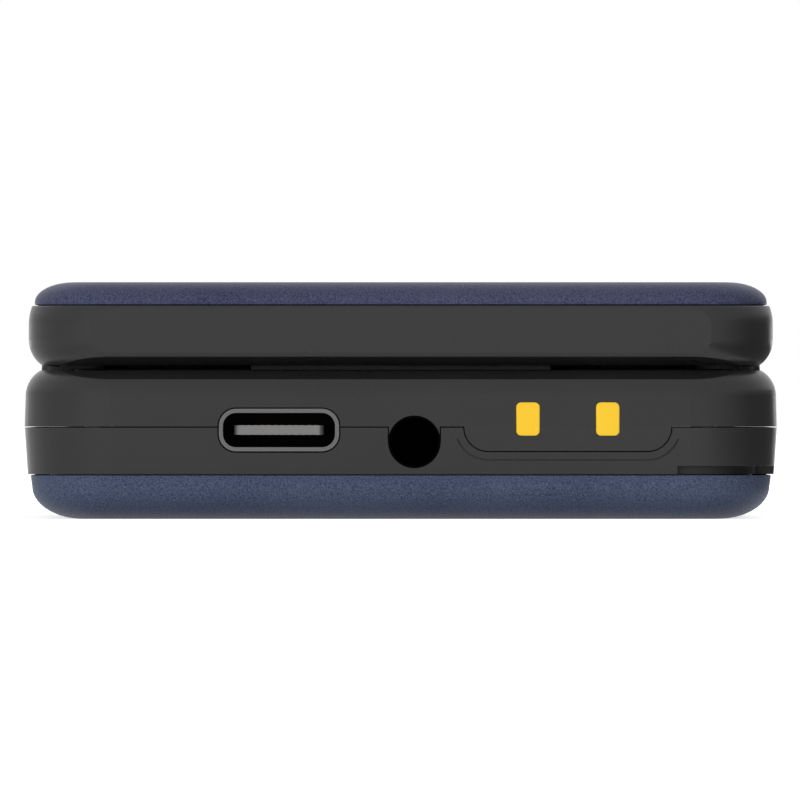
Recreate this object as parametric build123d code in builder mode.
from build123d import *
from math import asin, degrees, radians, sqrt, tan
import os

# A flip phone, closed and lying on its battery cover.
# X runs across the phone, Y along it with the ports at -Y and the hinge at +Y, Z up.
# The origin is under the middle of the case, on the surface it lies on. All sizes are in
# millimetres, and a spot is an (x, y) place on the plan.

# --- Case -------------------------------------------------------------------------------
case_width = 56.05  # across the seam between the two base housings, the widest line
case_length = 108.0  # port end to the back of the hinge
corner_radius = 6.5  # plan corners of the base
wall = 1.3  # side walls of the housings
seam = 0.08  # gap between neighbouring mouldings
cover_height = 3.25  # battery cover, floor to rim
front_height = 4.21  # front housing, from its seam with the rear one to the keypad plate's face
closing_gap = 0.38  # between the keypad plate and the closed lid
lid_frame_height = 4.45  # lid housing
lid_cover_height = 1.67
rear_draft = 3.9  # degrees, walls of the rear housing
front_draft = 1.6  # degrees, walls of the front housing
base_bulge = (2.2, 1.9)  # radius and height of the curved edge round the keypad plate
lid_low_bulge = (2.3, 1.9)  # the same round the lid's inner face
lid_high_bulge = (4.0, 1.4)  # and below its seam with the lid cover
lid_top_edge = 0.15
lid_rim = 1.1  # width of the lid housing's edge that follows its outline
lid_chin = 0.2  # depth of the flat cut across the lid's free end
lid_setback = 0.3  # the lid is narrower than the base by this on each side
lip_height = 0.7  # lips at the free ends, where a thumb opens the lid
lip_depth = 2.6
lip_round = 0.3

# --- Coloured covers ----------------------------------------------------------------------
cover_step = 0.45  # battery cover inside the widest line
cover_wall = 1.2
cover_floor = 1.2
rim_flare = 0.1  # the cover's side leans out by this towards its rim
cover_round_width = 3.8  # elliptical edge of the battery cover
cover_round_height = 2.4
lid_cover_step = 0.45  # lid cover inside the lid housing
lid_cover_wall = 1.2
lid_cover_floor = 1.3
lid_round_width = 2.9  # elliptical edge of the lid cover
lid_round_height = 1.5
lid_cover_corner = 4.4  # plan corners of the lid cover beside the hinge
lid_corner_hinge = 1.6  # plan corners of the lid housing beside the hinge
cover_end_gap = 0.6  # lid cover to the hinge end of the lid housing
cover_tab = (4.0, 0.8)  # tabs that locate the battery cover in the rear housing
cover_tab_rows = (-30.0, 0.0, 30.0)

# --- Hinge --------------------------------------------------------------------------------
hinge_radius = 4.1  # barrel and ears
hinge_clearance = 0.25  # around the barrel and in front of the ears
barrel_half = 15.5  # half the length of the lid's barrel
knuckle_gap = 0.2  # between the barrel and an ear
ear_draft = 4.5  # degrees, outer faces of the ears
ear_overhang = 0.5  # plan of the ears behind that of the base
ear_round = 0.7
sleeve_radius = 2.85  # spring cartridge
sleeve_flat = 2.4  # axis to each flat of the cartridge
sleeve_bore = 2.1
sleeve_length = 12.4
sleeve_end = 0.8
cam_thickness = 1.2
follower_thickness = 2.0
cam_groove = 0.5
shaft_radius = 1.3
pin_radius = 0.9
pin_reach = 1.0  # the shaft's pin beyond the follower
head_radius = 2.0
head_flat = 1.5
head_length = 3.5
spring_wire = 0.45
spring_turns = 4
spring_wire_sides = 6
bush_radius = 2.4
bush_bore = 1.8
bush_seat = 4.3  # length in the ear
bush_nose = 3.6  # length in the barrel
coil_room_radius = 3.2  # hollow of the barrel for the coiled display flex
coil_room_length = 8.0
flex_width = 6.0
flex_thickness = 0.2
flex_coil_radius = 2.7
flex_roll_radius = 1.3
flex_slot = (6.6, 0.7)  # way from the lid's room into the barrel
flex_tail = (3.0, 5.0)  # the end on the lid's board: its length, and how far it starts inside the room
flex_way_drop = 3.2  # from the hinge's axis down to the floor of the flex's way into the base
fit = 0.05  # clearance of parts that turn or slide in one another

# --- Keypad -------------------------------------------------------------------------------
plate_thickness = 0.85
key_proud = 0.25  # key tops above the keypad plate
key_gap = 0.15  # key to its opening, all round
key_travel = 0.25
key_width = 15.4
key_length = 10.6
key_corner = 2.4
key_edge = 0.2
nub = (1.6, 0.4, 0.07)  # raised mark on the middle key
column_gap = 1.2  # between neighbouring keys
row_gap = 1.6
row_count = 4
bottom_row_inset = 13.0  # port end to the middle of the bottom row
flange_width = 0.5
flange_thickness = 0.3
side_key_width = 11.0
side_key_length = 8.2
side_key_gap = 1.9  # between the navigation ring and the keys beside it
side_key_pitch = 13.6
ring_rise = 23.8  # top row of numbers to the middle of the navigation ring
ring_width = 23.0
ring_length = 21.4
ring_corner = 7.5
ok_radius = 4.9
ring_press = 8.0  # from the middle of the ring to where its sides are pressed

# --- Base internals -----------------------------------------------------------------------
floor_thickness = 1.0  # floor of the rear housing
skirt_drop = 0.95  # skirt of the rear housing that locates the battery cover
skirt_wall = 1.2
skirt_gap = 0.15
board_thickness = 0.8
board_drop = 1.2  # keypad plate to the board
board_gap = 0.7  # board to the walls
rocker_cutout = (2.85, 20.0)  # notch in the board beside the rocker
dome_height = 0.2
dome_radius = 2.2
dome_sides = 8
mat_thickness = 0.15
pad_width = 3.0  # raised pads of the mat, under the keys
pad_height = 0.15
bay_web = 0.7  # web over the battery
battery_width = 40.0
battery_length = 54.0
battery_thickness = 4.6
battery_corner = 2.0
battery_inset = 13.5  # from the end of the base's room to the battery bay
battery_gap = 0.25  # round the battery
battery_clearance = 0.3  # battery to its cover
bay_wall = 1.0
contact_block = (8.0, 2.4)  # battery connector
contact_block_rise = 1.5  # how far it reaches down beside the battery
blade_count = 3
blade_pitch = 2.5
blade_rise = 0.4
blade = (0.8, 1.6)  # width and height
screw_radius = 0.7
screw_head_radius = 1.25
screw_head_height = 0.9
screw_play = 0.1
screw_length = 5.4
boss_radius = 1.9
port_screw_inset = (5.35, 4.6)  # housing screws, from the side and from the port end
side_screw_inset = 3.35
hinge_screw_inset = (5.05, 3.65)  # from the side and from the end of the base's room
speaker = (15.0, 11.0, 3.3)
speaker_corner = 1.5
speaker_x = -14.0
speaker_inset = 19.5  # from the port end
speaker_cone = (11.0, 7.0, 0.5)
speaker_cone_corner = 3.0
slot_count = 5
slot_length = 8.0
slot_width = 0.9
slot_pitch = 1.9
shield = (30.0, 22.0)
shield_y = 2.0
shield_corner = 1.0
sim_holder = (15.0, 10.0)
sim_window = (13.0, 7.0)
sim_height = 1.4
sim_shell = 0.4
sim_inset = 5.35  # from the end of the base's room
motor_radius = 4.0
motor_thickness = 2.7
motor_x = 15.5
motor_inset = 7.75
microphone = (3.4, 2.6, 1.0)
microphone_x = 14.5
microphone_inset = 3.8  # from the port end
microphone_hole = 0.5
switch = (0.6, 3.0, 1.1)
switch_inset = 2.35  # outer faces of the switches inside the widest line
switch_spacing = 12.0

# --- Port end -----------------------------------------------------------------------------
usb_x = -9.06
usb_drop = 0.22  # below the seam of the housings
usb_width = 8.94
usb_height = 3.16
usb_wall = 0.3
usb_corner = 1.28  # outer corners of the shell
usb_depth = 7.35
usb_tongue_width = 6.69
usb_tongue_thickness = 0.7
usb_tongue_setback = 1.0
usb_tongue_corner = 0.33
usb_base = 1.0
port_gap = 0.1
port_setback = 0.05
jack_x = 1.01
jack_drop = 1.1
jack_hole_radius = 1.96  # in the housings
jack_bore_radius = 1.8
jack_depth = 12.5
jack_end = 0.7
jack_width = 6.2
jack_below = 2.33  # axis to the underside of the jack
jack_tongue_width = 3.79
contact_x = 12.42  # middle of the two charging contacts
contact_pitch = 5.93
contact_width = 1.755
contact_height = 2.48
contact_rise = 0.6  # above the seam of the housings
contact_corner = 0.38
contact_thickness = 0.8
contact_recess = 0.05
tab_width = 15.4  # tab of the front housing round the contacts
tab_drop = 1.78
groove_offset = 0.62
groove_width = 0.1
groove_depth = 0.12
groove_drop = 0.89  # top of the groove, below the seam
notch_start = 20.57  # fingernail notch, its end on the port face
notch_length = 7.4  # and its reach along the side
notch_height = 0.62
notch_depth = 1.0
notch_corner = 0.35

# --- Volume rocker ------------------------------------------------------------------------
rocker_inset = 29.9  # from the hinge's axis
rocker_length = 18.0
rocker_height = 2.2
rocker_rise = 1.86  # above the seam of the housings
rocker_gap = 0.18
rocker_flange = 0.35
rocker_flange_thickness = 0.35
rocker_play = 0.3  # flange to the wall, so that the rocker can rock

# --- Lid internals ------------------------------------------------------------------------
lid_plate = 1.4  # inner face of the lid
window_width = 48.0
window_length = 70.0
window_corner = 2.0
window_thickness = 0.8
window_recess = 0.15
window_gap = 0.08
ledge = 1.8  # the windows rest on this much of their mouldings
display_width = 46.4
display_length = 68.0
display_thickness = 1.8
lid_board_width = 42.0
lid_board_inset = 10.7  # from the lid's free end
lid_board_thickness = 0.5
outer_window_width = 30.0
outer_window_length = 36.0
outer_window_inset = 39.55  # from the lid's hinge end
outer_window_thickness = 0.8
outer_window_corner = 3.0
outer_window_recess = 0.04
outer_display_thickness = 1.0
camera_x = -6.5
camera_inset = 10.55
camera_size = 8.5
camera_play = 0.3
camera_barrel_radius = 3.1
camera_funnel = (2.4, 1.3, 0.9)  # radius at its top, radius at its floor, depth
camera_lens_radius = 2.6  # curvature of the front lens
camera_barrel_gap = 0.1  # barrel to the window above it
camera_ring_radius = 5.2
camera_glass_radius = 4.2
camera_glass_thickness = 0.7
camera_ring_depth = 0.8
camera_opening = 3.3
flash_x = 6.5
flash_radius = 1.9
earpiece_inset = 7.3  # from the lid's free end
earpiece = (12.0, 6.0, 2.4)
earpiece_slot = (11.0, 1.5)
bumper = (22.3, 1.2, 0.33)
bumper_seat = 0.2
bumper_inset = 3.6  # lid's free end to the bumper's middle
plug_radius = 1.7
plug_height = 0.26
plug_seat = 0.35
lid_free_screw_inset = (4.05, 5.1)  # lid screws, from the side and from the free end
lid_hinge_screw_inset = (3.65, 5.55)  # from the side and from the hinge end
lid_screw_length = 2.8
lid_screw_depth = 1.75  # from the lid's face to where the heads bear
lid_post_land = 1.0
magnet = (5.0, 3.0, 1.6)
magnet_x = 15.5
magnet_inset = 7.2

# --- Places worked out from the sizes -------------------------------------------------------
side_x = case_width / 2
end_y = -case_length / 2
back_y = case_length / 2
rear_bottom = cover_height + seam
battery_bottom = cover_floor + battery_clearance
bay_ceiling = battery_bottom + battery_thickness
seam_bottom = bay_ceiling + bay_web
split_height = seam_bottom + seam / 2
seam_top = split_height + seam / 2
base_height = split_height + front_height
lid_bottom = base_height + closing_gap
lid_seam = lid_bottom + lid_frame_height
lid_cover_bottom = lid_seam + seam
lid_top = lid_cover_bottom + lid_cover_height
lid_width = case_width - 2 * lid_setback
lid_corner = corner_radius - lid_setback
lid_start_y = end_y + lid_setback
hinge_y = back_y - hinge_radius
hinge_z = base_height + closing_gap / 2
lid_end_y = hinge_y - hinge_radius - hinge_clearance
lid_room_end = lid_end_y - wall
base_room_end = lid_end_y - wall
notch_half = barrel_half + knuckle_gap
plate_underside = base_height - plate_thickness
key_top = base_height + key_proud
flange_top = plate_underside - fit
flange_bottom = flange_top - flange_thickness
floor_bottom = rear_bottom + fit
floor_top = floor_bottom + floor_thickness
skirt_bottom = rear_bottom - skirt_drop
skirt_inset = cover_step + rim_flare + cover_wall + skirt_gap
board_top = plate_underside - board_drop
board_bottom = board_top - board_thickness
board_inset = wall + board_gap
board_end = base_room_end - fit
bay_width = battery_width + 2 * battery_gap
bay_length = battery_length + 2 * battery_gap
bay_end = base_room_end - battery_inset
battery_y = bay_end - bay_length / 2
usb_z = split_height - usb_drop
jack_z = split_height - jack_drop
jack_bottom = jack_z - jack_below
jack_y = end_y + wall + fit + jack_depth / 2
window_y = (lid_start_y + lid_end_y) / 2
window_bottom = lid_bottom + window_recess
lid_floor = lid_bottom + lid_plate
lid_board_bottom = lid_floor + display_thickness
lid_board_top = lid_board_bottom + lid_board_thickness
lid_board_start = lid_start_y + lid_board_inset
lid_screw_step = lid_bottom + lid_screw_depth
lid_post_top = lid_screw_step + lid_post_land
outer_window_bottom = lid_top - outer_window_recess - outer_window_thickness
lid_cover_underside = lid_top - lid_cover_floor
lens_ledge = lid_top - camera_ring_depth
outer_window_y = lid_end_y - outer_window_inset
camera_y = lid_end_y - camera_inset
earpiece_y = lid_start_y + earpiece_inset
contact_z = split_height + contact_rise
contact_block_bottom = bay_ceiling - contact_block_rise
rocker_y = hinge_y - rocker_inset
rocker_z = split_height + rocker_rise
rocker_face_x = -(side_x - tan(radians(front_draft)) * (rocker_z - seam_top))
number_labels = ["star", "0", "hash", "7", "8", "9", "4", "5", "6", "1", "2", "3"]
column_pitch = key_width + column_gap
row_pitch = key_length + row_gap
bottom_row_y = end_y + bottom_row_inset
number_spots = [
    (column * column_pitch, bottom_row_y + row * row_pitch)
    for row in range(row_count)
    for column in (-1, 0, 1)
]
ring_y = number_spots[-1][1] + ring_rise
side_key_x = ring_width / 2 + side_key_gap + side_key_width / 2
side_keys = {
    "left_soft_key": (-side_key_x, ring_y + side_key_pitch / 2),
    "right_soft_key": (side_key_x, ring_y + side_key_pitch / 2),
    "call_key": (-side_key_x, ring_y - side_key_pitch / 2),
    "end_key": (side_key_x, ring_y - side_key_pitch / 2),
}
sim_y = base_room_end - sim_inset
motor_spot = (motor_x, base_room_end - motor_inset)
speaker_spot = (speaker_x, end_y + speaker_inset)
microphone_spot = (microphone_x, end_y + microphone_inset)
magnet_spot = (magnet_x, lid_start_y + magnet_inset)
top_row_edge = number_spots[-1][1] + key_length / 2
call_key_edge = ring_y - side_key_pitch / 2 - side_key_length / 2
screw_spots = [
    (side * x, y)
    for side in (-1, 1)
    for x, y in (
        (side_x - port_screw_inset[0], end_y + port_screw_inset[1]),
        (side_x - side_screw_inset, (top_row_edge + call_key_edge) / 2),
        (side_x - hinge_screw_inset[0], base_room_end - hinge_screw_inset[1]),
    )
]
lid_screw_spots = [
    (side * x, y)
    for side in (-1, 1)
    for x, y in (
        (lid_width / 2 - lid_free_screw_inset[0], lid_start_y + lid_free_screw_inset[1]),
        (lid_width / 2 - lid_hinge_screw_inset[0], lid_end_y - lid_hinge_screw_inset[1]),
    )
]
contact_spots = [(contact_x + side * contact_pitch / 2, contact_z) for side in (-1, 1)]
port_plane = Plane(origin=(0, end_y, 0), x_dir=(1, 0, 0), z_dir=(0, -1, 0))
UPRIGHT = (Align.CENTER, Align.CENTER, Align.MIN)

os.makedirs("parts", exist_ok=True)


def save(part, name):
    """Labels a finished piece and writes it as its own STEP file."""
    part.label = name
    export_step(part, f"parts/{name}.step")


def base_plan(inset, end=back_y):
    """Plan of the base, inset from its widest line and cut off square at an end."""
    with BuildSketch(mode=Mode.PRIVATE) as plan:
        RectangleRounded(case_width - 2 * inset, case_length - 2 * inset, corner_radius - inset)
        with Locations((0, end_y)):
            Rectangle(case_width, end - end_y, align=(Align.CENTER, Align.MIN), mode=Mode.INTERSECT)
    return plan.sketch


def lid_plan(inset, hinge_inset, hinge_corner, longer=0):
    """Plan of the lid: large corners at its free end, others beside the hinge."""
    low, high = lid_start_y + inset - longer, lid_end_y - hinge_inset
    with BuildSketch(mode=Mode.PRIVATE) as plan:
        with Locations((0, (low + high) / 2)):
            Rectangle(lid_width - 2 * inset, high - low)
        fillet(plan.vertices().group_by(Axis.Y)[0], lid_corner - inset)
        fillet(plan.vertices().group_by(Axis.Y)[-1], hinge_corner)
    return plan.sketch


def oblong(spot, width, length, corner):
    """Plan of a rounded rectangle at a spot."""
    with BuildSketch(mode=Mode.PRIVATE) as plan:
        with Locations(spot):
            RectangleRounded(width, length, corner)
    return plan.sketch


def slab(plan, low, high, mode=Mode.ADD):
    """Extrudes a plan between two heights, in the part being built."""
    extrude(plan.moved(Location((0, 0, low))), amount=high - low, dir=(0, 0, 1), mode=mode)


def block(spot, size, low, high, mode=Mode.ADD):
    """A plain block round a spot between two heights, in the part being built."""
    with Locations((spot[0], spot[1], low)):
        Box(size[0], size[1], high - low, align=UPRIGHT, mode=mode)


def posts(spots, radius, low, high, mode=Mode.ADD):
    """Upright posts or holes at spots between two heights, in the part being built."""
    with Locations(*[(x, y, low) for x, y in spots]):
        Cylinder(radius, high - low, align=UPRIGHT, mode=mode)


def hinge_section(radius, flat=None, bore=None):
    """Section about the hinge's axis, drawn in Y and Z: round, with flats or with a bore."""
    with BuildSketch(mode=Mode.PRIVATE) as section:
        with Locations((hinge_y, hinge_z)):
            Circle(radius)
            if flat:
                Rectangle(2 * flat, 2 * radius, mode=Mode.INTERSECT)
            if bore:
                Circle(bore, mode=Mode.SUBTRACT)
    return section.sketch


def bar(section, start, end, mode=Mode.ADD):
    """Extrudes a section, drawn in Y and Z, between two places along X, in the part being built."""
    extrude(section.moved(Plane.YZ.offset(start).location), amount=end - start, dir=(1, 0, 0), mode=mode)


def rim_plane(path):
    """Plane across the start of a plan's edge: X points outwards and Y up."""
    along = path % 0
    return Plane(path @ 0, x_dir=along.cross(Vector(0, 0, 1)), z_dir=-along)


def lip(face, upwards):
    """Wedge off the free end of a face, where a thumb opens the lid."""
    slope = lip_height / (lip_depth - lid_setback)
    with BuildPart(mode=Mode.PRIVATE) as wedge:
        with BuildSketch(Plane.YZ.offset(-side_x)):
            with BuildLine():
                Polyline(
                    (end_y + lip_depth, face),
                    (end_y - lip_depth, face - 2 * upwards * slope * lip_depth),
                    (end_y - lip_depth, face),
                    close=True,
                )
            make_face()
        extrude(amount=case_width)
    return wedge.part


def front_tongues(gap):
    """Tongues of the front housing that reach over the rear one at the port end, grown by a gap."""
    with BuildSketch(port_plane, mode=Mode.PRIVATE) as tongues:
        with Locations((contact_x, split_height)):
            SlotOverall(tab_width + 2 * gap, 2 * (tab_drop + gap))
        with Locations((jack_x, jack_z)):
            reach = 2 * (split_height - jack_z)
            Rectangle(jack_tongue_width + 2 * gap, reach, align=(Align.CENTER, Align.MIN))
    return tongues.sketch


def port_openings():
    """Openings for the two sockets in the port end, cut from the part being built."""
    with BuildSketch(port_plane, mode=Mode.PRIVATE) as openings:
        with Locations((usb_x, usb_z)):
            RectangleRounded(usb_width + 2 * port_gap, usb_height + 2 * port_gap, usb_corner + port_gap)
        with Locations((jack_x, jack_z)):
            Circle(jack_hole_radius)
    extrude(openings.sketch, amount=-(wall + fit), mode=Mode.SUBTRACT)


# ------------------------------------------------------------------------------ outer forms

with BuildPart() as rear_form:
    with BuildSketch(Plane.XY.offset(seam_bottom)):
        add(base_plan(0))
    extrude(amount=rear_bottom - seam_bottom, taper=rear_draft)

with BuildPart() as front_form:
    with BuildSketch(Plane.XY.offset(seam_top)):
        add(base_plan(0))
    bulge_radius, bulge_height = base_bulge
    extrude(amount=base_height - bulge_height + bulge_radius - seam_top, taper=front_draft)
    fillet(front_form.faces().sort_by(Axis.Z)[-1].edges(), bulge_radius)
    slab(base_plan(0), base_height, base_height + bulge_radius, Mode.SUBTRACT)

with BuildPart() as ear_form:
    bar(hinge_section(hinge_radius), -side_x, side_x)
    with BuildSketch(Plane.XY.offset(seam_top)):
        add(base_plan(0).moved(Location((0, ear_overhang, 0))))
    extrude(amount=hinge_z + hinge_radius - seam_top, taper=ear_draft, mode=Mode.INTERSECT)
    fillet(ear_form.edges().filter_by(GeomType.LINE, reverse=True), ear_round)

with BuildPart() as tongue_form:
    add(rear_form.part)
    slab(base_plan(0), seam_bottom, seam_top)
    extrude(front_tongues(0), amount=-wall, mode=Mode.INTERSECT)

with BuildPart() as nail_notch:
    with BuildSketch(port_plane) as notch_front:
        with Locations((notch_start, skirt_bottom)):
            Rectangle(side_x, rear_bottom + notch_height - skirt_bottom, align=Align.MIN)
        fillet(notch_front.vertices().group_by(Axis.X)[0].sort_by(Axis.Z)[-1], notch_corner)
    extrude(amount=-notch_length)
    slab(base_plan(notch_depth + cover_step), 0, split_height, Mode.SUBTRACT)

# ------------------------------------------------------------------------- base: rear housing

with BuildPart() as base_rear_housing:
    add(rear_form.part)
    slab(base_plan(skirt_inset), skirt_bottom, floor_top)
    slab(base_plan(skirt_inset + skirt_wall), skirt_bottom, floor_bottom, Mode.SUBTRACT)
    slab(base_plan(wall, base_room_end), floor_top, seam_bottom, Mode.SUBTRACT)
    bay_size = (bay_width + 2 * bay_wall, bay_length + 2 * bay_wall)
    block((0, battery_y), bay_size, floor_bottom, seam_bottom)
    bay = oblong((0, battery_y), bay_width, bay_length, battery_corner)
    slab(bay, skirt_bottom, bay_ceiling, Mode.SUBTRACT)
    block(
        (0, bay_end),
        (contact_block[0] + 2 * battery_gap, 2 * contact_block[1] + battery_gap),
        contact_block_bottom - battery_gap,
        seam_bottom,
        Mode.SUBTRACT,
    )
    posts(screw_spots, boss_radius, floor_bottom, seam_bottom)
    posts(screw_spots, screw_radius + screw_play, floor_bottom, seam_bottom, Mode.SUBTRACT)
    posts(screw_spots, screw_head_radius + screw_play, skirt_bottom, floor_top, Mode.SUBTRACT)
    # ways through the floor for the jack, the SIM card and the sound
    jack_room = (jack_width + 2 * port_gap, jack_depth + 2 * port_gap)
    block((jack_x, jack_y), jack_room, floor_bottom, floor_top, Mode.SUBTRACT)
    block((0, sim_y), sim_window, floor_bottom, floor_top, Mode.SUBTRACT)
    with BuildSketch(Plane.XY.offset(floor_bottom)):
        with Locations(speaker_spot):
            with GridLocations(slot_pitch, 0, slot_count, 1):
                SlotOverall(slot_length, slot_width, rotation=90)
    extrude(amount=floor_thickness, mode=Mode.SUBTRACT)
    bar(hinge_section(hinge_radius + hinge_clearance), -notch_half, notch_half, Mode.SUBTRACT)
    # port end
    extrude(front_tongues(seam), amount=-wall, mode=Mode.SUBTRACT)
    port_openings()
    with BuildSketch(port_plane):
        for offset, mode in ((groove_offset + groove_width, Mode.ADD), (groove_offset, Mode.SUBTRACT)):
            with Locations((contact_x, split_height)):
                SlotOverall(tab_width + 2 * offset, 2 * (tab_drop + offset), mode=mode)
        with Locations((contact_x, split_height - groove_drop)):
            Rectangle(2 * tab_width, 2 * tab_drop, align=(Align.CENTER, Align.MIN), mode=Mode.SUBTRACT)
    draft_depth = tan(radians(rear_draft)) * (tab_drop + groove_offset)
    extrude(amount=-(groove_depth + draft_depth), mode=Mode.SUBTRACT)
    add(nail_notch.part, mode=Mode.SUBTRACT)
save(base_rear_housing.part, "base_rear_housing")

# ------------------------------------------------------------------------ base: front housing

with BuildPart() as base_front_housing:
    add(front_form.part)
    add(ear_form.part)
    add(tongue_form.part)
    add(lip(base_height, 1), mode=Mode.SUBTRACT)
    # notch for the lid's barrel, open at the back
    bar(hinge_section(hinge_radius + hinge_clearance), -notch_half, notch_half, Mode.SUBTRACT)
    with BuildSketch(Plane.XY.offset(seam_top)):
        with Locations((0, hinge_y)):
            Rectangle(2 * notch_half, case_length, align=(Align.CENTER, Align.MIN))
    extrude(amount=case_length, mode=Mode.SUBTRACT)
    # room for the board, under the keypad plate
    slab(base_plan(wall, base_room_end), seam_top, plate_underside, Mode.SUBTRACT)
    posts(screw_spots, boss_radius, seam_top, plate_underside)
    posts(screw_spots, screw_radius, seam_top, floor_top + screw_length, Mode.SUBTRACT)
    # openings for the keys and the microphone
    key_sizes = [(spot, key_width, key_length, key_corner) for spot in number_spots]
    key_sizes += [(spot, side_key_width, side_key_length, key_corner) for spot in side_keys.values()]
    key_sizes += [((0, ring_y), ring_width, ring_length, ring_corner)]
    for spot, width, length, corner in key_sizes:
        opening = oblong(spot, width + 2 * key_gap, length + 2 * key_gap, corner + key_gap)
        slab(opening, plate_underside, base_height, Mode.SUBTRACT)
    posts([microphone_spot], microphone_hole, plate_underside, base_height, Mode.SUBTRACT)
    # volume rocker
    with BuildSketch(Plane.YZ.offset(-side_x)):
        with Locations((rocker_y, rocker_z)):
            SlotOverall(rocker_length + 2 * rocker_gap, rocker_height + 2 * rocker_gap)
    extrude(amount=wall, mode=Mode.SUBTRACT)
    # port end
    port_openings()
    with BuildSketch(port_plane):
        with Locations(*contact_spots):
            RectangleRounded(contact_width, contact_height, contact_corner)
    extrude(amount=-(contact_recess + contact_thickness), mode=Mode.SUBTRACT)
    # sockets in the ears, and the way for the display flex into the base
    head_seat = hinge_section(head_radius + fit, head_flat + fit)
    bar(head_seat, -notch_half - head_length - fit, -notch_half, Mode.SUBTRACT)
    bar(hinge_section(bush_radius), notch_half, notch_half + bush_seat, Mode.SUBTRACT)
    flex_way_x = notch_half + bush_seat + bush_bore
    flex_way_bottom = hinge_z - flex_way_drop
    flex_way = (2 * bush_bore, 2 * bush_bore)
    block((flex_way_x, hinge_y), flex_way, flex_way_bottom, hinge_z + bush_bore, Mode.SUBTRACT)
    flex_way = (2 * bush_bore, hinge_y - base_room_end + wall)
    flex_way_y = hinge_y - flex_way[1] / 2
    block((flex_way_x, flex_way_y), flex_way, flex_way_bottom, plate_underside, Mode.SUBTRACT)
save(base_front_housing.part, "base_front_housing")

with BuildPart() as housing_screws:
    posts(screw_spots, screw_head_radius, floor_top - screw_head_height, floor_top)
    posts(screw_spots, screw_radius, floor_top, floor_top + screw_length)
save(housing_screws.part, "housing_screws")

# ------------------------------------------------------------------------------ battery cover

with BuildPart() as battery_cover:
    rim_inset = cover_step + rim_flare
    edge = base_plan(rim_inset).face().outer_wire()
    with BuildSketch(rim_plane(edge)) as rim:
        with BuildLine():
            outside = EllipticalCenterArc(
                (-cover_round_width, cover_round_height),
                cover_round_width,
                cover_round_height,
                start_angle=-90,
                arc_size=90,
            )
            Polyline(
                outside @ 1,
                (rim_flare, cover_height),
                (-cover_round_width, cover_height),
                outside @ 0,
            )
        make_face()
    sweep(sections=rim.sketch, path=edge)
    slab(base_plan(rim_inset + cover_round_width), 0, cover_height)
    # hollow, with a sloped edge that follows the round outside
    hollow = base_plan(rim_inset + cover_wall)
    slab(hollow, cover_round_height, cover_height, Mode.SUBTRACT)
    hollow_top = hollow.moved(Location((0, 0, cover_round_height)))
    hollow_floor = base_plan(rim_inset + cover_round_width).moved(Location((0, 0, cover_floor)))
    loft([hollow_floor, hollow_top], ruled=True, mode=Mode.SUBTRACT)
    tab_x = side_x - skirt_inset - skirt_wall - skirt_gap - cover_tab[1] / 2
    for y in cover_tab_rows:
        for x in (-tab_x, tab_x):
            block((x, y), (cover_tab[1], cover_tab[0]), cover_floor / 2, cover_height)
    with BuildSketch():
        with Locations(speaker_spot):
            with GridLocations(slot_pitch, 0, slot_count, 1):
                SlotOverall(slot_length, slot_width, rotation=90)
    extrude(amount=cover_floor, mode=Mode.SUBTRACT)
save(battery_cover.part, "battery_cover")

# ------------------------------------------------------------------------------ base: inside

with BuildPart() as main_circuit_board:
    slab(base_plan(board_inset, board_end), board_bottom, board_top)
    posts(screw_spots, boss_radius + board_gap / 2, board_bottom, board_top, Mode.SUBTRACT)
    cutout = (2 * rocker_cutout[0], rocker_cutout[1])
    block((-side_x, rocker_y), cutout, board_bottom, board_top, Mode.SUBTRACT)
save(main_circuit_board.part, "main_circuit_board")

with BuildPart() as shield_can:
    slab(oblong((0, shield_y), *shield, shield_corner), seam_top, board_bottom)
save(shield_can.part, "shield_can")

with BuildPart() as battery:
    cell = oblong((0, battery_y), battery_width, battery_length, battery_corner)
    slab(cell, battery_bottom, bay_ceiling)
save(battery.part, "battery")

with BuildPart() as battery_connector:
    block((0, bay_end + contact_block[1] / 2), contact_block, contact_block_bottom, board_bottom)
    with Locations((0, bay_end, contact_block_bottom + blade_rise)):
        with GridLocations(blade_pitch, 0, blade_count, 1):
            Box(blade[0], 2 * battery_gap, blade[1], align=UPRIGHT)
save(battery_connector.part, "battery_connector")

usb_room = (usb_width - 2 * usb_wall, usb_height - 2 * usb_wall)

with BuildPart() as usb_c_shell:
    with BuildSketch(port_plane.offset(-port_setback)):
        with Locations((usb_x, usb_z)):
            RectangleRounded(usb_width, usb_height, usb_corner)
            RectangleRounded(*usb_room, usb_corner - usb_wall, mode=Mode.SUBTRACT)
    extrude(amount=-usb_depth)
save(usb_c_shell.part, "usb_c_shell")

with BuildPart() as usb_c_tongue:
    with BuildSketch(port_plane.offset(-(port_setback + usb_tongue_setback))):
        with Locations((usb_x, usb_z)):
            Rectangle(usb_tongue_width, usb_tongue_thickness)
    extrude(amount=-(usb_depth - usb_tongue_setback))
    chamfer(usb_c_tongue.edges().filter_by(Axis.Z).group_by(Axis.Y)[0], usb_tongue_corner)
    with BuildSketch(port_plane.offset(-(port_setback + usb_depth - usb_base))):
        with Locations((usb_x, usb_z)):
            RectangleRounded(*usb_room, usb_corner - usb_wall)
    extrude(amount=-usb_base)
save(usb_c_tongue.part, "usb_c_tongue")

with BuildPart() as audio_jack:
    block((jack_x, jack_y), (jack_width, jack_depth), jack_bottom, board_bottom)
    with BuildSketch(port_plane.offset(-(wall + fit))):
        with Locations((jack_x, jack_z)):
            Circle(jack_bore_radius)
    extrude(amount=-(jack_depth - jack_end), mode=Mode.SUBTRACT)
save(audio_jack.part, "audio_jack")

with BuildPart() as charging_contacts:
    with BuildSketch(port_plane.offset(-contact_recess)):
        with Locations(*contact_spots):
            RectangleRounded(contact_width, contact_height, contact_corner)
    extrude(amount=-contact_thickness)
save(charging_contacts.part, "charging_contacts")

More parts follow.
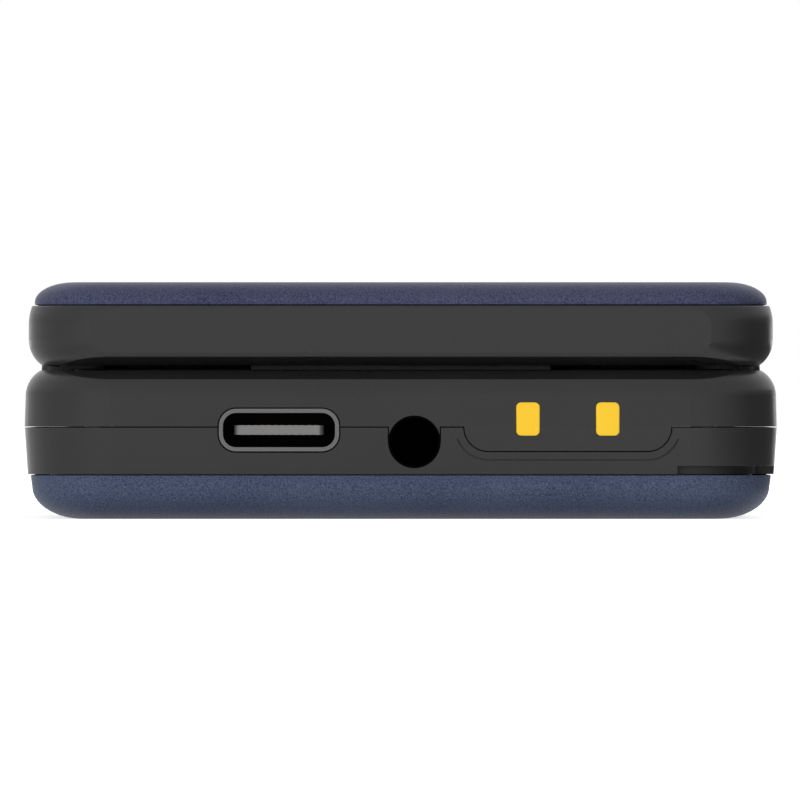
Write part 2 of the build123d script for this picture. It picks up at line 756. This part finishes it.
with BuildPart() as loudspeaker:
    slab(oblong(speaker_spot, *speaker[:2], speaker_corner), floor_top, floor_top + speaker[2])
    cone = oblong(speaker_spot, *speaker_cone[:2], speaker_cone_corner)
    slab(cone, floor_top, floor_top + speaker_cone[2], Mode.SUBTRACT)
save(loudspeaker.part, "loudspeaker")

with BuildPart() as vibration_motor:
    posts([motor_spot], motor_radius, board_bottom - motor_thickness, board_bottom)
save(vibration_motor.part, "vibration_motor")

with BuildPart() as sim_card_holder:
    block((0, sim_y), sim_holder, board_bottom - sim_height, board_bottom)
    block((0, sim_y), sim_window, board_bottom - sim_height, board_bottom - sim_shell, Mode.SUBTRACT)
save(sim_card_holder.part, "sim_card_holder")

with BuildPart() as microphone_can:
    block(microphone_spot, microphone[:2], board_top, board_top + microphone[2])
save(microphone_can.part, "microphone")

with BuildPart() as side_switches:
    switch_x = -(side_x - switch_inset - switch[0] / 2)
    for y in (rocker_y - switch_spacing / 2, rocker_y + switch_spacing / 2):
        block((switch_x, y), switch[:2], board_top, board_top + switch[2])
save(side_switches.part, "side_switches")

# ------------------------------------------------------------------------------ keypad

dome_spots = number_spots + list(side_keys.values())
dome_spots += [(x, ring_y) for x in (-ring_press, 0, ring_press)]
dome_spots += [(0, ring_y - ring_press), (0, ring_y + ring_press)]

with BuildPart() as key_domes:
    with BuildSketch(Plane.XY.offset(board_top)):
        with Locations(*dome_spots):
            RegularPolygon(dome_radius, dome_sides)
    extrude(amount=dome_height)
save(key_domes.part, "key_domes")

with BuildPart() as keypad_membrane:
    mat_bottom = board_top + dome_height
    mat_start = bottom_row_y - key_length / 2
    mat_end = ring_y + ring_length / 2
    mat_width = 2 * column_pitch + key_width
    mat = oblong((0, (mat_start + mat_end) / 2), mat_width, mat_end - mat_start, key_corner)
    slab(mat, mat_bottom, mat_bottom + mat_thickness)
    for spot in dome_spots:
        block(spot, (pad_width, pad_width), mat_bottom, mat_bottom + mat_thickness + pad_height)
    posts(screw_spots, boss_radius + board_gap / 2, mat_bottom, plate_underside, Mode.SUBTRACT)
save(keypad_membrane.part, "keypad_membrane")


def key(name, spot, width, length):
    """A key and its flange, which stays under the keypad plate."""
    with BuildPart() as piece:
        slab(oblong(spot, width, length, key_corner), flange_bottom, key_top)
        chamfer(piece.faces().sort_by(Axis.Z)[-1].edges(), key_edge)
        block(spot, (width + 2 * flange_width, length + 2 * flange_width), flange_bottom, flange_top)
        if name == "key_5":
            nub_spot = (spot[0], spot[1] - length / 2 + 2 * key_edge + nub[1])
            block(nub_spot, nub[:2], key_top, key_top + nub[2])
    save(piece.part, name)


for label, spot in zip(number_labels, number_spots):
    key(f"key_{label}", spot, key_width, key_length)
for name, spot in side_keys.items():
    key(name, spot, side_key_width, side_key_length)

with BuildPart() as navigation_ring:
    slab(oblong((0, ring_y), ring_width, ring_length, ring_corner), flange_bottom, key_top)
    chamfer(navigation_ring.faces().sort_by(Axis.Z)[-1].edges(), key_edge)
    flange_size = (ring_width + 2 * flange_width, ring_length + 2 * flange_width)
    slab(oblong((0, ring_y), *flange_size, ring_corner), flange_bottom, flange_top)
    posts([(0, ring_y)], ok_radius + key_gap, flange_bottom, key_top, Mode.SUBTRACT)
    ok_room = flange_top + key_travel + fit
    posts([(0, ring_y)], ok_radius + flange_width + key_gap, flange_bottom, ok_room, Mode.SUBTRACT)
save(navigation_ring.part, "navigation_ring")

with BuildPart() as ok_key:
    posts([(0, ring_y)], ok_radius, flange_bottom, key_top)
    chamfer(ok_key.faces().sort_by(Axis.Z)[-1].edges(), key_edge)
    posts([(0, ring_y)], ok_radius + flange_width, flange_bottom, flange_top)
save(ok_key.part, "ok_key")

with BuildPart() as volume_rocker:
    inner_face_x = -side_x + wall + rocker_play
    with BuildSketch(Plane.YZ.offset(rocker_face_x)):
        with Locations((rocker_y, rocker_z)):
            SlotOverall(rocker_length, rocker_height)
    extrude(amount=inner_face_x - rocker_face_x)
    with BuildSketch(Plane.YZ.offset(inner_face_x)):
        with Locations((rocker_y, rocker_z)):
            SlotOverall(rocker_length + 2 * rocker_flange, rocker_height + 2 * rocker_flange)
    extrude(amount=rocker_flange_thickness)
save(volume_rocker.part, "volume_rocker")

# ------------------------------------------------------------------------------ hinge

cartridge_end = -barrel_half + sleeve_length
cam_face = -barrel_half + cam_thickness
follower_start = cam_face + fit
follower_end = follower_start + follower_thickness

with BuildPart() as hinge_cam_shaft:
    bar(hinge_section(head_radius, head_flat), -notch_half - head_length, -notch_half)
    bar(hinge_section(shaft_radius), -notch_half, -barrel_half)
    bar(hinge_section(sleeve_bore - fit), -barrel_half, cam_face)
    with Locations((cam_face, hinge_y, hinge_z)):
        Box(cam_groove, cam_groove, 2 * sleeve_bore, mode=Mode.SUBTRACT)
    bar(hinge_section(pin_radius), -barrel_half, follower_end + pin_reach)
save(hinge_cam_shaft.part, "hinge_cam_shaft")

with BuildPart() as hinge_follower:
    bar(hinge_section(sleeve_bore - fit, bore=pin_radius + fit), follower_start, follower_end)
    with Locations((follower_start, hinge_y, hinge_z)):
        Box(cam_groove, cam_groove, 2 * sleeve_bore, mode=Mode.SUBTRACT)
save(hinge_follower.part, "hinge_follower")

with BuildPart() as hinge_sleeve:
    bar(hinge_section(sleeve_radius, sleeve_flat), -barrel_half, cartridge_end)
    bar(hinge_section(sleeve_bore), -barrel_half, cartridge_end - sleeve_end, Mode.SUBTRACT)
save(hinge_sleeve.part, "hinge_sleeve")

with BuildPart() as hinge_spring:
    coil_radius = sleeve_bore - fit - spring_wire / 2
    coil_start = follower_end + spring_wire / 2
    coil_length = cartridge_end - sleeve_end - spring_wire / 2 - coil_start
    with BuildLine() as coil:
        Helix(
            coil_length / spring_turns,
            coil_length,
            coil_radius,
            center=(coil_start, hinge_y, hinge_z),
            direction=(1, 0, 0),
        )
    with BuildSketch(Plane(coil.line @ 0, z_dir=coil.line % 0)):
        RegularPolygon(spring_wire / 2, spring_wire_sides)
    sweep(path=coil.line, is_frenet=True)
save(hinge_spring.part, "hinge_spring")

with BuildPart() as hinge_bush:
    bar(hinge_section(bush_radius, bore=bush_bore), barrel_half - bush_nose, notch_half + bush_seat)
save(hinge_bush.part, "hinge_bush")

# ------------------------------------------------------------------------------ lid

with BuildPart() as lid_housing:
    outline = lid_plan(0, 0, lid_corner_hinge, lid_chin)
    edge = outline.face().outer_wire().moved(Location((0, 0, lid_bottom)))
    with BuildSketch(rim_plane(edge)) as rim:
        with BuildLine():
            radius, height = lid_low_bulge
            angle = degrees(asin(height / radius))
            low_arc = CenterArc((-radius, height), radius, -angle, angle)
            radius, height = lid_high_bulge
            angle = degrees(asin(height / radius))
            high_arc = CenterArc((-radius, lid_frame_height - height), radius, 0, angle)
            Line(low_arc @ 1, high_arc @ 0)
            Polyline(high_arc @ 1, (-lid_rim, lid_frame_height), (-lid_rim, 0), low_arc @ 0)
        make_face()
    sweep(sections=rim.sketch, path=edge)
    slab(lid_plan(lid_rim, lid_rim, lid_corner_hinge - lid_rim, lid_chin), lid_bottom, lid_seam)
    fillet(lid_housing.faces().sort_by(Axis.Z)[-1].edges(), lid_top_edge)
    block((0, lid_start_y - lid_chin), (lid_width, 2 * lid_chin), lid_bottom, lid_seam, Mode.SUBTRACT)
    add(lip(lid_bottom, -1), mode=Mode.SUBTRACT)
    chin = lid_housing.faces().filter_by(Axis.Y).sort_by(Axis.Y)[0]
    fillet(chin.edges().sort_by(Axis.Z)[0], lip_round)
    # barrel and the neck that carries it
    with Locations((0, lid_room_end, lid_bottom)):
        Box(
            2 * barrel_half,
            hinge_y - lid_room_end,
            hinge_z + hinge_radius - lid_bottom,
            align=(Align.CENTER, Align.MIN, Align.MIN),
        )
    bar(hinge_section(hinge_radius), -barrel_half, barrel_half)
    sleeve_seat = hinge_section(sleeve_radius + fit, sleeve_flat + fit)
    bar(sleeve_seat, -barrel_half, cartridge_end + fit, Mode.SUBTRACT)
    bar(hinge_section(bush_radius + fit), barrel_half - bush_nose, barrel_half, Mode.SUBTRACT)
    coil_room_end = barrel_half - bush_nose
    bar(hinge_section(coil_room_radius), coil_room_end - coil_room_length, coil_room_end, Mode.SUBTRACT)
    cover_seat = lid_plan(lid_cover_step - seam, cover_end_gap - seam, lid_cover_corner + seam)
    slab(cover_seat, lid_seam, lid_top, Mode.SUBTRACT)
    # room inside, open to the lid cover
    slab(lid_plan(wall, wall, lid_corner_hinge), lid_floor, lid_seam, Mode.SUBTRACT)
    window_room = (window_width + 2 * window_gap, window_length + 2 * window_gap)
    recess = oblong((0, window_y), *window_room, window_corner)
    slab(recess, lid_bottom, window_bottom + window_thickness, Mode.SUBTRACT)
    opening = oblong((0, window_y), window_width - 2 * ledge, window_length - 2 * ledge, window_corner)
    slab(opening, lid_bottom, lid_floor, Mode.SUBTRACT)
    # earpiece slot, bumper seat and screw posts
    with BuildSketch(Plane.XY.offset(lid_bottom)):
        with Locations((0, earpiece_y)):
            SlotOverall(*earpiece_slot)
    extrude(amount=lid_plate, mode=Mode.SUBTRACT)
    bumper_spot = (0, lid_start_y + bumper_inset)
    block(bumper_spot, bumper[:2], lid_bottom, lid_bottom + bumper_seat, Mode.SUBTRACT)
    posts(lid_screw_spots, boss_radius, lid_floor, lid_post_top)
    posts(lid_screw_spots, screw_radius + screw_play, lid_floor, lid_post_top, Mode.SUBTRACT)
    posts(lid_screw_spots, screw_head_radius + screw_play, lid_bottom, lid_screw_step, Mode.SUBTRACT)
    posts(lid_screw_spots, plug_radius, lid_bottom, lid_bottom + plug_seat, Mode.SUBTRACT)
    # way for the display flex from the lid's room into the barrel
    flex_x = coil_room_end - coil_room_length / 2
    with Locations((flex_x, lid_room_end - wall, hinge_z + flex_coil_radius)):
        Box(
            flex_slot[0],
            hinge_y - lid_room_end + wall,
            flex_slot[1],
            align=(Align.CENTER, Align.MIN, Align.CENTER),
            mode=Mode.SUBTRACT,
        )
save(lid_housing.part, "lid_housing")

with BuildPart() as lid_cover:
    outline = lid_plan(lid_cover_step, cover_end_gap, lid_cover_corner)
    edge = outline.face().outer_wire().moved(Location((0, 0, lid_cover_bottom)))
    with BuildSketch(rim_plane(edge)) as rim:
        with BuildLine():
            outside = EllipticalCenterArc(
                (-lid_round_width, lid_cover_height - lid_round_height),
                lid_round_width,
                lid_round_height,
                start_angle=0,
                arc_size=90,
            )
            Polyline(
                outside @ 0,
                (0, 0),
                (-lid_cover_wall, 0),
                (-lid_cover_wall, lid_cover_height - lid_cover_floor),
                (-lid_round_width, lid_cover_height - lid_cover_floor),
                outside @ 1,
            )
        make_face()
    sweep(sections=rim.sketch, path=edge)
    middle_inset = lid_cover_step + lid_round_width
    middle = lid_plan(middle_inset, cover_end_gap + lid_round_width, lid_cover_corner - lid_round_width)
    slab(middle, lid_cover_underside, lid_top)
    window_room = (outer_window_width + 2 * window_gap, outer_window_length + 2 * window_gap)
    recess = oblong((0, outer_window_y), *window_room, outer_window_corner)
    slab(recess, outer_window_bottom, lid_top, Mode.SUBTRACT)
    opening_size = (outer_window_width - 2 * ledge, outer_window_length - 2 * ledge)
    opening = oblong((0, outer_window_y), *opening_size, outer_window_corner)
    slab(opening, lid_cover_underside, lid_top, Mode.SUBTRACT)
    posts([(camera_x, camera_y)], camera_ring_radius, lens_ledge, lid_top, Mode.SUBTRACT)
    posts([(camera_x, camera_y)], camera_opening, lid_cover_underside, lid_top, Mode.SUBTRACT)
    posts([(flash_x, camera_y)], flash_radius + fit, lid_cover_underside, lid_top, Mode.SUBTRACT)
    screw_end = lid_screw_step + lid_screw_length
    posts(lid_screw_spots, boss_radius, lid_post_top + seam, lid_cover_underside)
    posts(lid_screw_spots, screw_radius, lid_post_top + seam, screw_end, Mode.SUBTRACT)
save(lid_cover.part, "lid_cover")

with BuildPart() as lid_screws:
    posts(lid_screw_spots, screw_head_radius, lid_screw_step - screw_head_height, lid_screw_step)
    posts(lid_screw_spots, screw_radius, lid_screw_step, screw_end)
save(lid_screws.part, "lid_screws")

with BuildPart() as screw_plugs:
    posts(lid_screw_spots, plug_radius, lid_bottom - plug_height, lid_bottom + plug_seat)
save(screw_plugs.part, "screw_plugs")

with BuildPart() as lid_bumper_strip:
    block(bumper_spot, bumper[:2], lid_bottom - bumper[2], lid_bottom + bumper_seat)
save(lid_bumper_strip.part, "lid_bumper_strip")

with BuildPart() as display_window:
    window_top = window_bottom + window_thickness
    slab(oblong((0, window_y), window_width, window_length, window_corner), window_bottom, window_top)
save(display_window.part, "display_window")

with BuildPart() as main_display:
    block((0, window_y), (display_width, display_length), lid_floor, lid_board_bottom)
save(main_display.part, "main_display")

with BuildPart() as lid_circuit_board:
    board_length = lid_room_end - fit - lid_board_start
    board_spot = (0, lid_board_start + board_length / 2)
    block(board_spot, (lid_board_width, board_length), lid_board_bottom, lid_board_top)
    camera_room = camera_size + 2 * camera_play
    camera_spot = (camera_x, camera_y)
    block(camera_spot, (camera_room, camera_room), lid_board_bottom, lid_board_top, Mode.SUBTRACT)
save(lid_circuit_board.part, "lid_circuit_board")

with BuildPart() as outer_display:
    display_size = (outer_window_width - ledge, outer_window_length - ledge)
    block((0, outer_window_y), display_size, lid_board_top, lid_board_top + outer_display_thickness)
save(outer_display.part, "outer_display")

with BuildPart() as outer_window:
    plan = oblong((0, outer_window_y), outer_window_width, outer_window_length, outer_window_corner)
    slab(plan, outer_window_bottom, outer_window_bottom + outer_window_thickness)
save(outer_window.part, "outer_window")

with BuildPart() as camera_module:
    block((camera_x, camera_y), (camera_size, camera_size), lid_floor, lid_seam)
    barrel_top = lens_ledge - camera_barrel_gap
    posts([(camera_x, camera_y)], camera_barrel_radius, lid_seam, barrel_top)
    # funnel down to the curved front lens
    mouth_radius, lens_half, funnel_depth = camera_funnel
    lens_edge = barrel_top - funnel_depth
    lens_top = lens_edge + camera_lens_radius - sqrt(camera_lens_radius**2 - lens_half**2)
    with BuildSketch(Plane.XZ.offset(-camera_y)):
        with BuildLine():
            lens = RadiusArc(
                (camera_x, lens_top), (camera_x + lens_half, lens_edge), camera_lens_radius
            )
            Polyline(lens @ 1, (camera_x + mouth_radius, barrel_top), (camera_x, barrel_top), lens @ 0)
        make_face()
    revolve(axis=Axis((camera_x, camera_y, 0), (0, 0, 1)), mode=Mode.SUBTRACT)
save(camera_module.part, "camera_module")

with BuildPart() as camera_window:
    posts([(camera_x, camera_y)], camera_glass_radius, lens_ledge, lens_ledge + camera_glass_thickness)
save(camera_window.part, "camera_window")

with BuildPart() as camera_ring:
    posts([(camera_x, camera_y)], camera_ring_radius, lens_ledge, lid_top)
    posts([(camera_x, camera_y)], camera_glass_radius, lens_ledge, lid_top, Mode.SUBTRACT)
save(camera_ring.part, "camera_ring")

with BuildPart() as flash_lens:
    posts([(flash_x, camera_y)], flash_radius, lid_board_top, lid_top - outer_window_recess)
save(flash_lens.part, "flash_lens")

with BuildPart() as earpiece_speaker:
    block((0, earpiece_y), earpiece[:2], lid_floor, lid_floor + earpiece[2])
save(earpiece_speaker.part, "earpiece")

with BuildPart() as lid_magnet:
    block(magnet_spot, magnet[:2], lid_floor, lid_floor + magnet[2])
save(lid_magnet.part, "lid_magnet")

with BuildPart() as display_flex:
    flex_top = hinge_z + flex_coil_radius
    flex_start = lid_room_end - flex_tail[1]
    coil = hinge_section(flex_coil_radius, bore=flex_coil_radius - flex_thickness)
    bar(coil, flex_x - flex_width / 2, flex_x + flex_width / 2)
    with Locations((flex_x, flex_start, flex_top)):
        Box(flex_width, hinge_y - flex_start, flex_thickness, align=(Align.CENTER, Align.MIN, Align.MAX))
    tail_height = lid_board_bottom - flex_top + flex_thickness
    with Locations((flex_x, flex_start, lid_board_bottom)):
        Box(flex_width, flex_tail[0], tail_height, align=(Align.CENTER, Align.MIN, Align.MAX))
    roll = hinge_section(flex_roll_radius, bore=flex_roll_radius - flex_thickness)
    bar(roll, flex_x, notch_half + bush_seat + fit)
    link_height = flex_coil_radius - flex_roll_radius
    with Locations((flex_x, hinge_y, hinge_z + flex_roll_radius - flex_thickness)):
        Box(flex_width / 2, flex_thickness, link_height, align=(Align.MIN, Align.CENTER, Align.MIN))
save(display_flex.part, "display_flex")
